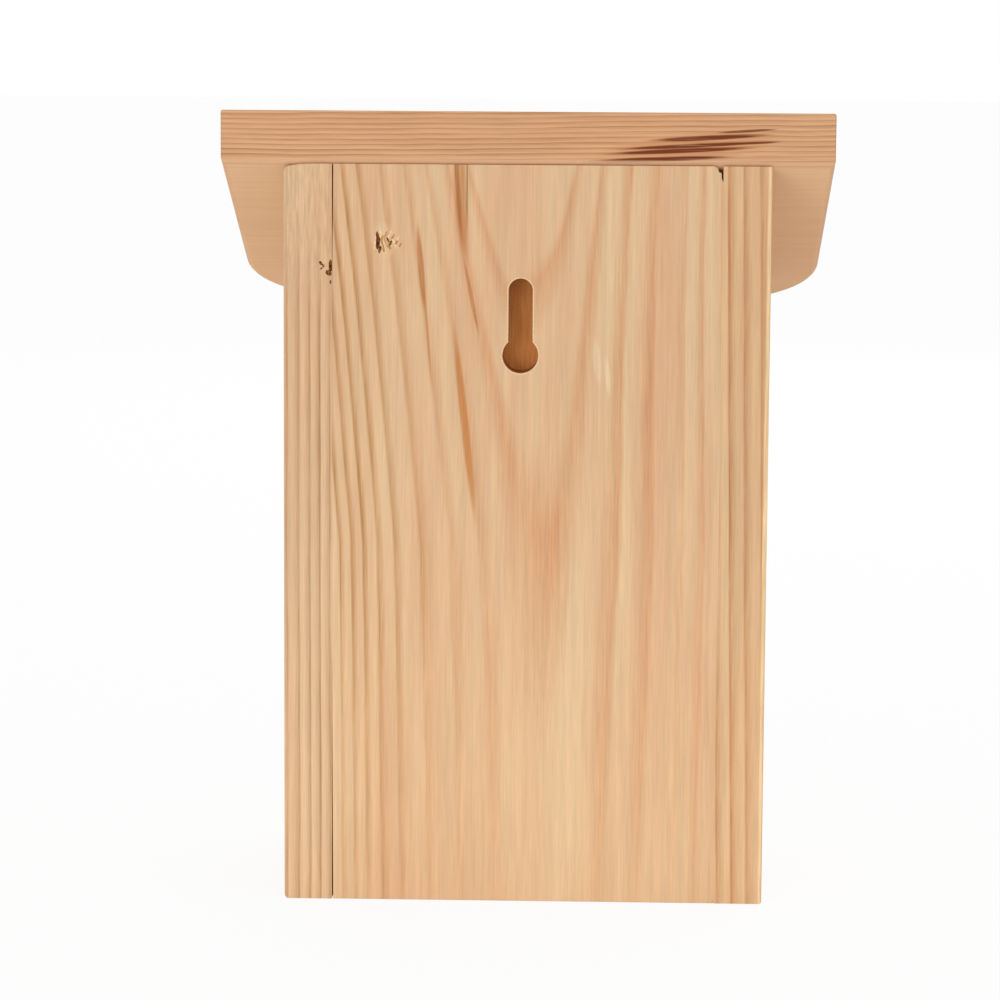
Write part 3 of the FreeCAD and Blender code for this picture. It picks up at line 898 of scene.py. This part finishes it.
SPLINTERS = [
    (44.9, 209.6, 0.35, 1.7, 0.22, 6), (43.9, 206.2, 0.3, 1.4, 0.2, 12), (42.2, 208.9, 0.3, 1.5, 0.2, -18),
    (41.0, 206.9, 0.3, 0.9, 0.2, 40), (40.3, 205.2, 0.3, 1.1, 0.2, 25), (43.3, 203.6, 0.35, 1.3, 0.2, 8),
    (46.7, 206.4, 0.3, 2.4, 0.16, -4), (39.6, 207.8, 0.25, 0.9, 0.18, -25),
]
SIDE_SLITS = [
    (60.4, 199.2, 0.6, 2.0, 1.1, 0), (61.0, 197.0, 0.8, 1.1, 0.8, 40), (63.4, 200.0, 0.45, 0.8, 0.4, 35),
    (62.6, 199.2, 0.4, 0.6, 0.3, 0), (60.4, 194.2, 0.3, 0.7, 0.4, 0), (63.2, 198.4, 0.25, 0.5, 0.3, -30),
]
# The chipped corner takes the dark knot material: painted shade in the break
CHIPPED_CORNER = [(-59.7, 229.6, 1.3, 1.2, 3.5, 0), (-59.9, 228.0, 0.5, 2.2, 3.0, 0)]


def model_back(materials):
    """Model the back with its keyhole, a torn knot, a chipped corner and a seam that gapes a little."""
    board = add_block("back_board", back_low, back_high)
    slice_off(board, ROOF_START, UNDER_ROOF)
    edge = back_high.x
    slice_off(board, (edge, 0, REAR_HEIGHT - SEAM_FROM_TOP), (SEAM_FROM_TOP, 0, SEAM_GAPE))
    slice_off(board, (edge, 0, SEAM_FROM_FOOT), (SEAM_FROM_FOOT, 0, -SEAM_GAPE))
    slice_off(board, (-edge, REAR, REAR_HEIGHT - TOP_BREAK), TOP_BREAK_WAY)
    slice_off(board, (-edge, REAR, FOOT_BREAK), FOOT_BREAK_WAY)

    def is_lower_edge(point):
        return point.y > REAR - NEAR and point.z < NEAR

    def is_gaping_edge(point):
        return point.y > REAR - NEAR and point.x > edge - 2 * SEAM_GAPE

    round_edges(board, FINE_ARRIS, 2, is_lower_edge)
    round_edges(board, FINE_ARRIS / 2, 2, is_gaping_edge)
    board.data.materials.append(materials["back"])
    routed = materials["routed"]
    deep = KEYHOLE_DEPTH - KEYHOLE_LIP
    carve(board, slot_tool("entry", KEYHOLE_ENTRY, 0, REAR + MM, KEYHOLE_DEPTH + MM, routed))
    carve(board, slot_tool("neck", KEYHOLE_SLOT, KEYHOLE_TRAVEL, REAR + MM, KEYHOLE_DEPTH + MM, routed))
    carve(board, slot_tool("undercut", KEYHOLE_ENTRY, KEYHOLE_TRAVEL, REAR - KEYHOLE_LIP, deep, routed))

    def is_keyhole_rim(point):
        is_beside = abs(point.x - KEYHOLE_X) < KEYHOLE_ENTRY
        is_level = abs(point.z - KEYHOLE_HEIGHT - KEYHOLE_TRAVEL / 2) < KEYHOLE_TRAVEL
        return point.y > REAR - NEAR and is_beside and is_level

    round_edges(board, KEYHOLE_RIM, 3, is_keyhole_rim)
    board.data.materials.append(materials["rim"])
    for face in board.data.polygons:
        is_rim = REAR - KEYHOLE_RIM < face.center.y < REAR - NEAR
        is_beside = abs(face.center.x - KEYHOLE_X) < KEYHOLE_ENTRY
        if is_rim and is_beside and face.center.z > KEYHOLE_HEIGHT - KEYHOLE_ENTRY:
            face.material_index = len(board.data.materials) - 1
    tears = [("knot", DARK_SLITS), ("torn", PALE_PITS), ("knot", CHIPPED_CORNER), ("rim", SPLINTERS)]
    for name, places in tears:
        for seed, sizes in enumerate(places):
            tear(board, materials[name], *sizes, seed, raised=places is SPLINTERS)
    return board


def model_flat(name, node_name, material):
    """Model a board that lies level between the sides, with its front edges eased."""
    low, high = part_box(node_name)
    board = add_block(name, low, high)
    if node_name == "front_rail":
        slice_off(board, ROOF_START, UNDER_ROOF)
    round_edges(board, FRONT_ARRIS, 4, lambda point: point.y < low.y + NEAR)
    board.data.materials.append(material)
    return board


# Fasteners

# Outlines as radius and depth from the head's face, in millimetres: the fasteners from the middle of the
# head to the point, and the seats of their heads
NAIL = [
    (0, 0), (1.2, 0.0), (1.72, 0.06), (1.9, 0.22), (1.9, 0.72), (1.75, 0.88), (1.08, 0.95), (1.0, 1.3),
    (1.0, 31.8), (0.55, 33.6), (0, 35.0),
]
NAIL_SEAT = [(0, -1), (2.05, -1), (2.05, 0.98), (0, 0.98)]
SCREW = [
    (0, 0), (2.6, 0.0), (3.3, 0.05), (3.5, 0.2), (3.42, 0.45), (1.75, 2.4), (1.7, 14.0), (1.3, 14.6),
    (1.2, 31.0), (0, 35.0),
]
SCREW_SEAT = [(0, -1), (3.75, -1), (3.75, 0.3), (3.6, 0.5), (1.85, 2.5), (0, 2.5)]

# Cross recess of a screw: reach from the middle, depth and half width of its arms
RECESS_REACH = 2.05 * MM
RECESS_DEPTH = 1.7 * MM
RECESS_HALF = 0.5 * MM

# Angle in radians by which each screw stops further round than the one before
SCREW_TWIST = 0.7


def head_places(name, direction):
    """Return the middle of each fastener's head in a node, furthest out along a direction."""
    places = []
    for points in separate_solids(name):
        reach = max(point.dot(direction(point)) for point in points)
        ring = [point for point in points if point.dot(direction(point)) > reach - NEAR]
        low = Vector(min(point[axis] for point in ring) for axis in range(3))
        high = Vector(max(point[axis] for point in ring) for axis in range(3))
        places.append((low + high) / 2)
    return places


def nail_matrices():
    """Return where the nails go: driven in from the outer faces of the sides."""
    places = head_places("side_nails", lambda point: Vector((math.copysign(1, point.x), 0, 0)))
    turns = [Matrix.Rotation(-math.copysign(math.pi / 2, place.x), 4, "Z") for place in places]
    return [Matrix.Translation(place) @ turn for place, turn in zip(places, turns)]


def screw_matrices():
    """Return where the screws go: square to the roof, each stopped at a turn of its own."""
    turn = Matrix.Rotation(math.pi / 2 + SLOPE, 4, "X")
    places = head_places("roof_screws", lambda point: UNDER_ROOF)
    twists = [Matrix.Rotation(SCREW_TWIST * number, 4, "Y") for number in range(len(places))]
    return [Matrix.Translation(place) @ turn @ twist for place, twist in zip(places, twists)]


def sink_heads(board, outline, matrices):
    """Cut a seat for each fastener's head into a board, in the board's own wood."""
    pattern = spin_profile("seat_pattern", outline, 24)
    pattern.data.materials.append(board.data.materials[0])
    for matrix in matrices:
        carve(board, copy_to(pattern, "seat", matrix))
    bpy.data.objects.remove(pattern)


def set_in_place(name, pattern, matrices, material, angle):
    """Copy a fastener to every place and join the copies to one smooth piece."""
    copies = [copy_to(pattern, pattern.name, matrix) for matrix in matrices]
    bpy.data.objects.remove(pattern)
    piece = join(name, copies)
    piece.data.materials.append(material)
    smooth(piece, angle)
    return piece


def model_nails(material):
    """Model the nails that hold the back, floor, shelf and rail between the sides."""
    return set_in_place("wire_nails", spin_profile("nail", NAIL, 24), nail_matrices(), material, 40)


def model_screws(material):
    """Model the countersunk screws that hold the roof to the tops of the sides."""
    screw = spin_profile("screw", SCREW, 32)
    for turn in (0, math.pi / 2):
        low = (-RECESS_REACH, -RECESS_DEPTH, -RECESS_HALF)
        arm = add_block("recess_arm", low, (RECESS_REACH, MM, RECESS_HALF))
        arm.rotation_euler = (0, turn, 0)
        settle(arm)
        carve(screw, arm)
    return set_in_place("roof_screw_set", screw, screw_matrices(), material, 30)


# Canes

def cane_outline(radius, bore, length):
    """Return a cane's outline in millimetres, from its closed bore round the front end to its rear end."""
    skin = radius - CANE_SLIMMER
    wall = (bore + skin) / 2
    floor = length - CANE_SEPTUM
    knot = length - CANE_KNOT
    inside = [
        (0, floor), (bore * 0.6, floor), (bore - 0.5, floor - 0.05), (bore, floor - 0.6),
        (bore, length * 0.45), (bore, 0.5), (bore + 0.25, 0.1),
    ]
    end = [(bore + 0.6, 0.03), (wall, 0), (skin - 0.5, 0.02), (skin - 0.12, 0.15)]
    outside = [
        (skin, 0.6), (skin, length * 0.3), (skin, length * 0.6), (skin + 0.02, knot - 5),
        (skin + 0.12, knot - 2.2), (skin + 0.36, knot - 0.7), (skin + 0.3, knot - 0.2),
        (skin - 0.12, knot + 0.1), (skin - 0.05, knot + 0.5), (skin + 0.18, knot + 1.2),
        (skin + 0.02, knot + 2.6), (skin - 0.2, length - 0.15), (skin - 0.5, length),
        (skin * 0.5, length), (0, length),
    ]
    return inside + end + outside


def model_cane(name, material):
    """Model one cane of the frame in bamboo, a little uneven and never fuller than the frame's cane."""
    low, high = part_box(name)
    luck = random.Random(name)
    radius = (high.x - low.x) / 2
    length = high.y - low.y
    diameter = min(BORES, key=lambda size: abs(size * MM - 2 * radius))
    bore = BORES[diameter] * MM / 2
    outline = cane_outline(radius / MM, bore / MM, length / MM)
    cane = spin_profile(name.replace("cane", "bamboo"), outline, CANE_SIDES)
    lean = luck.uniform(0, math.tau)
    groove = luck.uniform(0, math.tau)
    oval = luck.uniform(LEAST_OVAL, MOST_OVAL)
    hollow = luck.choice(GROOVES)
    ripeness = luck.random()
    centre = Vector(((low.x + high.x) / 2, low.y, (low.z + high.z) / 2))
    stem = []
    for vertex in cane.data.vertices:
        angle = math.atan2(vertex.co.z, vertex.co.x)
        away = math.remainder(angle - groove, math.tau)
        flattened = oval * (1 - math.cos(2 * (angle - lean))) / 2
        squeezed = flattened + hollow * math.exp(-(away / GROOVE_SPREAD) ** 2)
        reach = math.hypot(vertex.co.x, vertex.co.z)
        # The bore stays round, and the wall is squeezed more and more towards the skin
        if reach > bore * 1.02:
            fullness = min(1.0, (reach - bore) / (radius - bore) * 1.6)
            keep = 1 - squeezed * fullness
            vertex.co.x *= keep
            vertex.co.z *= keep
        stem += [vertex.co.x / MM, (length + vertex.co.y) / MM, vertex.co.z / MM]
        vertex.co = Vector((vertex.co.x, -vertex.co.y, vertex.co.z)) + centre
    cane.data.flip_normals()
    count = len(cane.data.vertices)
    cane.data.attributes.new("stem", "FLOAT_VECTOR", "POINT").data.foreach_set("vector", stem)
    cane.data.attributes.new("girth", "FLOAT", "POINT").data.foreach_set("value", [radius / MM] * count)
    cane.data.attributes.new("tone", "FLOAT", "POINT").data.foreach_set("value", [ripeness] * count)
    cane.data.materials.append(material)
    smooth(cane, 30)
    return cane


# Stage

def seen_rays(tree):
    """Return 1 for rays that show a surface to the camera, straight or by way of gloss or glass."""
    light = node(tree, "LightPath")
    seen = node(tree, "Math", {
        0: light.outputs["Is Camera Ray"], 1: light.outputs["Is Glossy Ray"],
    }, operation="MAXIMUM")
    return node(tree, "Math", {0: seen, 1: light.outputs["Is Transmission Ray"]}, operation="MAXIMUM")


def make_floor():
    """Lay a floor of white paper that shows almost white and keeps a faint shadow of the object."""
    start_clean()
    bpy.ops.mesh.primitive_plane_add(size=FLOOR_SIZE)
    floor = bpy.context.active_object
    floor.name = "studio_floor"
    material, tree, surface = new_material("white_paper")
    finish_surface(tree, surface, {"Base Color": paint("#F8F8F8"), "Roughness": 0.9})
    white = node(tree, "Emission", {"Color": grey(1.0), "Strength": 1.0})
    share = node(tree, "Math", {0: seen_rays(tree), 1: PAPER_GLOW}, operation="MULTIPLY")
    both = node(tree, "MixShader", {0: share, 1: surface, 2: white})
    plug(tree, tree.nodes["Material Output"].inputs["Surface"], both)
    floor.data.materials.append(material)


def light_world():
    """Light the object softly from all around, a little more from -X, and show plain white behind it."""
    world = bpy.data.worlds.new("studio")
    bpy.context.scene.world = world
    world.use_nodes = True
    tree = world.node_tree
    place = node(tree, "TexCoord")
    direction = node(tree, "SeparateXYZ", {"Vector": place.outputs["Object"]})
    soft = node(tree, "Math", {
        0: direction.outputs["X"], 1: -SKY_TILT * SKY_LIGHT, 2: SKY_LIGHT,
    }, operation="MULTIPLY_ADD")
    level = node(tree, "MapRange", {"Value": seen_rays(tree), "To Min": soft, "To Max": 1.0})
    finish_surface(tree, tree.nodes["Background"], {"Color": grey(1.0), "Strength": level})


def hang_light(name, place, aim, width, height, power):
    """Hang a soft light, a lit rectangle that faces a point."""
    light = bpy.data.lights.new(name, "AREA")
    light.shape = "RECTANGLE"
    light.size = width
    light.size_y = height
    light.energy = power
    lamp = bpy.data.objects.new(name, light)
    lamp.location = place
    lamp.rotation_euler = (Vector(aim) - Vector(place)).to_track_quat("-Z", "Y").to_euler()
    bpy.context.scene.collection.objects.link(lamp)


def aim_camera():
    """Set the camera where the photograph was taken from."""
    yaw, pitch, roll = (math.radians(angle) for angle in (CAMERA_YAW, CAMERA_PITCH, CAMERA_ROLL))
    ahead = Vector((-math.sin(yaw) * math.cos(pitch), -math.cos(yaw) * math.cos(pitch), math.sin(pitch)))
    level = Vector((-math.cos(yaw), math.sin(yaw), 0))
    upright = level.cross(ahead)
    right = level * math.cos(roll) + upright * math.sin(roll)
    up = upright * math.cos(roll) - level * math.sin(roll)
    data = bpy.data.cameras.new("rear_camera")
    data.lens = CAMERA_LENS
    data.sensor_width = CAMERA_SENSOR
    camera = bpy.data.objects.new("rear_camera", data)
    turn = Matrix((right, up, -ahead)).transposed().to_4x4()
    camera.matrix_world = Matrix.Translation(CAMERA_PLACE) @ turn
    bpy.context.scene.collection.objects.link(camera)
    bpy.context.scene.camera = camera


# Materials of the boards

# Tints of the boards: pale and blush, and two of summer wood
FAIR = ("#E8C599", "#E2B389", "#D58C5A", "#BE864C")
STRAW = ("#E8C59B", "#E3B98E", "#C67E42", "#AC6E38")
TAWNY = ("#E8C497", "#E2B588", "#CC7C3E", "#BC7034")
WARM = ("#DBA97F", "#D29D74", "#AB7042", "#A87444")

# Tints of resin and of pale wood, and of painted highlights
AMBER = "#C0752F"
UMBER = "#6E2C00"
GLOW = "#C67C42"
RUSSET = "#A9632B"
HAZEL = "#A07442"
HONEY = "#C87D36"
PALE_FLECK_AND_HIGHLIGHT = "#F0D3AC"
EDGE_HIGHLIGHT = "#FFDDAA"

# Streaks of resin, of pale wood and of painted highlight: start and end in millimetres along the grain and
# aside, half width, depth of colour, and tint. Those of the roof lie in its rear edge, and the one of the
# left side is a painted highlight along its rear outer corner
ROOF_STREAKS = [
    ((-16, 1.8), (-82, 8.6), 4.6, 0.4, GLOW), ((-34, 6.8), (-77, 9.0), 0.9, 1.12, UMBER),
    ((-56, 9.2), (-78, 10.5), 0.5, 0.95, UMBER), ((-24, 4.4), (-76, 6.9), 0.72, 1.12, UMBER),
    ((-60, 6.1), (-79, 7.0), 0.45, 0.95, UMBER), ((-20, 3.05), (-73, 5.4), 0.8, 1.12, UMBER),
    ((-14, 0.9), (-66, 2.8), 0.85, 1.12, UMBER),
]
BACK_STREAKS = [
    ((246, 22.0), (196, 18.8), 2.5, 0.7, AMBER), ((246, 22.9), (203, 19.8), 0.9, 0.75, RUSSET),
    ((244, 18.5), (208, 18.4), 0.35, 0.8, HAZEL), ((204, 19.8), (176, 14.2), 0.8, 0.8, AMBER),
    ((214, 33.8), (183, 31.2), 1.2, 0.85, AMBER), ((200, 32.2), (158, 28.8), 0.5, 0.6, AMBER),
    ((186, 22.8), (116, 15.0), 1.6, 0.85, HONEY), ((179, -21.2), (162, -22.6), 1.5, 0.7, PALE_FLECK_AND_HIGHLIGHT),
    # The last streak is the pale halo round the torn knot: paler torn fibre, and a painted highlight on it
    ((174, -24.4), (158, -26.0), 1.1, 0.7, PALE_FLECK_AND_HIGHLIGHT), ((214, 45.0), (201, 43.0), 4.8, 0.35, PALE_FLECK_AND_HIGHLIGHT),
]
LEFT_STREAKS = [((300, -74.3), (-60, -74.3), 0.9, 0.9, EDGE_HIGHLIGHT)]


def rings_every(spacing, dark_ring=0.0, pale_share=0.5):
    """Return a ring pattern with a steady spacing in millimetres."""
    return lambda tree, radius, aside: even_rings(tree, radius, spacing, dark_ring, pale_share)


def roof_rings(tree, radius, aside):
    """Shade the close rings of the roof, which show less on its broad faces than on its rear edge."""
    rings = even_rings(tree, radius, 1.55, 74.0, pale_share=0.2)
    edge = node(tree, "MapRange", {
        "Value": aside, "From Min": 38.0, "From Max": 45.0, "To Min": 0.45, "To Max": 1.0,
    })
    return node(tree, "Math", {0: rings, 1: edge}, operation="MULTIPLY")


def make_materials():
    """Make all finishes; every board has its own heart line, so no two match."""
    ridge = REAR_HEIGHT / MM
    heart = REAR / MM - HEART_DEPTH
    side = back_high.x / MM + STOCK / MM
    into_roof = Matrix.Rotation(-SLOPE, 4, "X") @ Matrix.Translation(-ROOF_START)
    return {
        "roof": pine(
            "roof_pine", WARM, "XYZ", ((20, -46, -64), (-94, -46, -61.6)), roof_rings,
            wave=0.75, wave_length=45, into_board=into_roof, streaks=ROOF_STREAKS, streak_axis="deep",
            # painted light from below: the paler tints of the roof's lower arrises and its underside
            streak_limit=(-16, -8), lit_from_below=("#DBAF88", "#EBC598"),
        ),
        "right": pine(
            "right_side_pine", STRAW, "ZYX", ((ridge, 10, side + 28), (0, 10, side + 28)),
            rings_every(2.03, 62.1, 0.38), wave=0.5, fade=((180, 1.0), (212, 0.25)), light=SIDE_FLOOR_LIGHT,
            ruffle=(186, 204),
        ),
        "left": pine(
            "left_side_pine", TAWNY, "ZYX", ((ridge, 12, -side - 30), (0, 12, -side - 34)),
            rings_every(3.2, 63.3, 0.45), wave=0.4, light=SIDE_FLOOR_LIGHT,
            streaks=LEFT_STREAKS, streak_axis="deep", streak_limit=(50, 56),
        ),
        "back": pine(
            "back_pine", FAIR, "ZXY", ((ridge, 0.9, heart), (113, -5.5, heart)), back_rings,
            swell=(ridge, 105, 850), wave=0.6, fade=((0, 0.45), (130, 1.0)), light=BACK_FLOOR_LIGHT,
            streaks=BACK_STREAKS,
        ),
        "floor": pine("floor_pine", FAIR, "XYZ", ((80, 12, -40), (-80, 18, -42)), rings_every(2.6)),
        "shelf": pine("shelf_pine", FAIR, "XYZ", ((80, 4, 60), (-80, -6, 56)), rings_every(2.2)),
        "rail": pine("rail_pine", FAIR, "XZY", ((80, 150, -60), (-80, 146, -64)), rings_every(2.4)),
        # dark knot wood, which also serves as painted shade in the chipped corner
        "knot": torn_pine("dark_knot_and_painted_shade", "#5A3115", "#8A552A", "#BE8A55"),
        "torn": torn_pine("torn_pine", "#B98850", "#D2A56C", "#E6C08E"),
        "rim": torn_pine("fresh_cut_pine", "#E2BB8C", "#EBC99D", "#F2D6AF"),
        "routed": routed_pine(),
        "bamboo": bamboo(),
        "nail": steel("bright_wire_steel", "#B4B2AE", "#8E8A84", 0.3),
        "screw": steel("zinc_plated_steel", "#C9C4B4", "#A59C86", 0.28),
    }


def build_hotel():
    """Model every piece of the hotel and let it ride in place of the frame's own."""
    materials = make_materials()
    roof = model_roof(materials["roof"])
    left = model_side("left_side_board", -1, CRISP_TOP_ARRIS, CRISP_ARRIS, materials["left"])
    right = model_side("right_side_board", 1, SOFT_TOP_ARRIS, SOFT_ARRIS, materials["right"])
    for seed, sizes in enumerate(SIDE_SLITS):
        tear(right, materials["knot"], *sizes, seed)
    back = model_back(materials)
    floor = model_flat("floor_board", "floor_panel", materials["floor"])
    shelf = model_flat("shelf_board", "shelf", materials["shelf"])
    rail = model_flat("rail_board", "front_rail", materials["rail"])
    sink_heads(roof, SCREW_SEAT, screw_matrices())
    sink_heads(right, NAIL_SEAT, [matrix for matrix in nail_matrices() if matrix.translation.x > 0])
    sink_heads(left, NAIL_SEAT, [matrix for matrix in nail_matrices() if matrix.translation.x < 0])
    boards = [
        (roof, "roof_pine", "roof"), (left, "side_pine", "left_side"), (right, "side_pine", "right_side"),
        (back, "back_pine", "back_panel"), (floor, "inner_pine", "floor_panel"),
        (shelf, "inner_pine", "shelf"), (rail, "inner_pine", "front_rail"),
    ]
    for board, slot, replaced in boards:
        smooth(board)
        dress(board, "carcass", replaced)
    dress(model_nails(materials["nail"]), "carcass", "side_nails")
    dress(model_screws(materials["screw"]), "carcass", "roof_screws")
    for name in sorted(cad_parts):
        if name.startswith("cane_"):
            dress(model_cane(name, materials["bamboo"]), name, name)


build_hotel()
make_floor()
light_world()
for lamp_name, lamp_values in LAMPS.items():
    hang_light(lamp_name, *lamp_values)
aim_camera()
bpy.context.scene.view_settings.view_transform = "Standard"

start_clean()
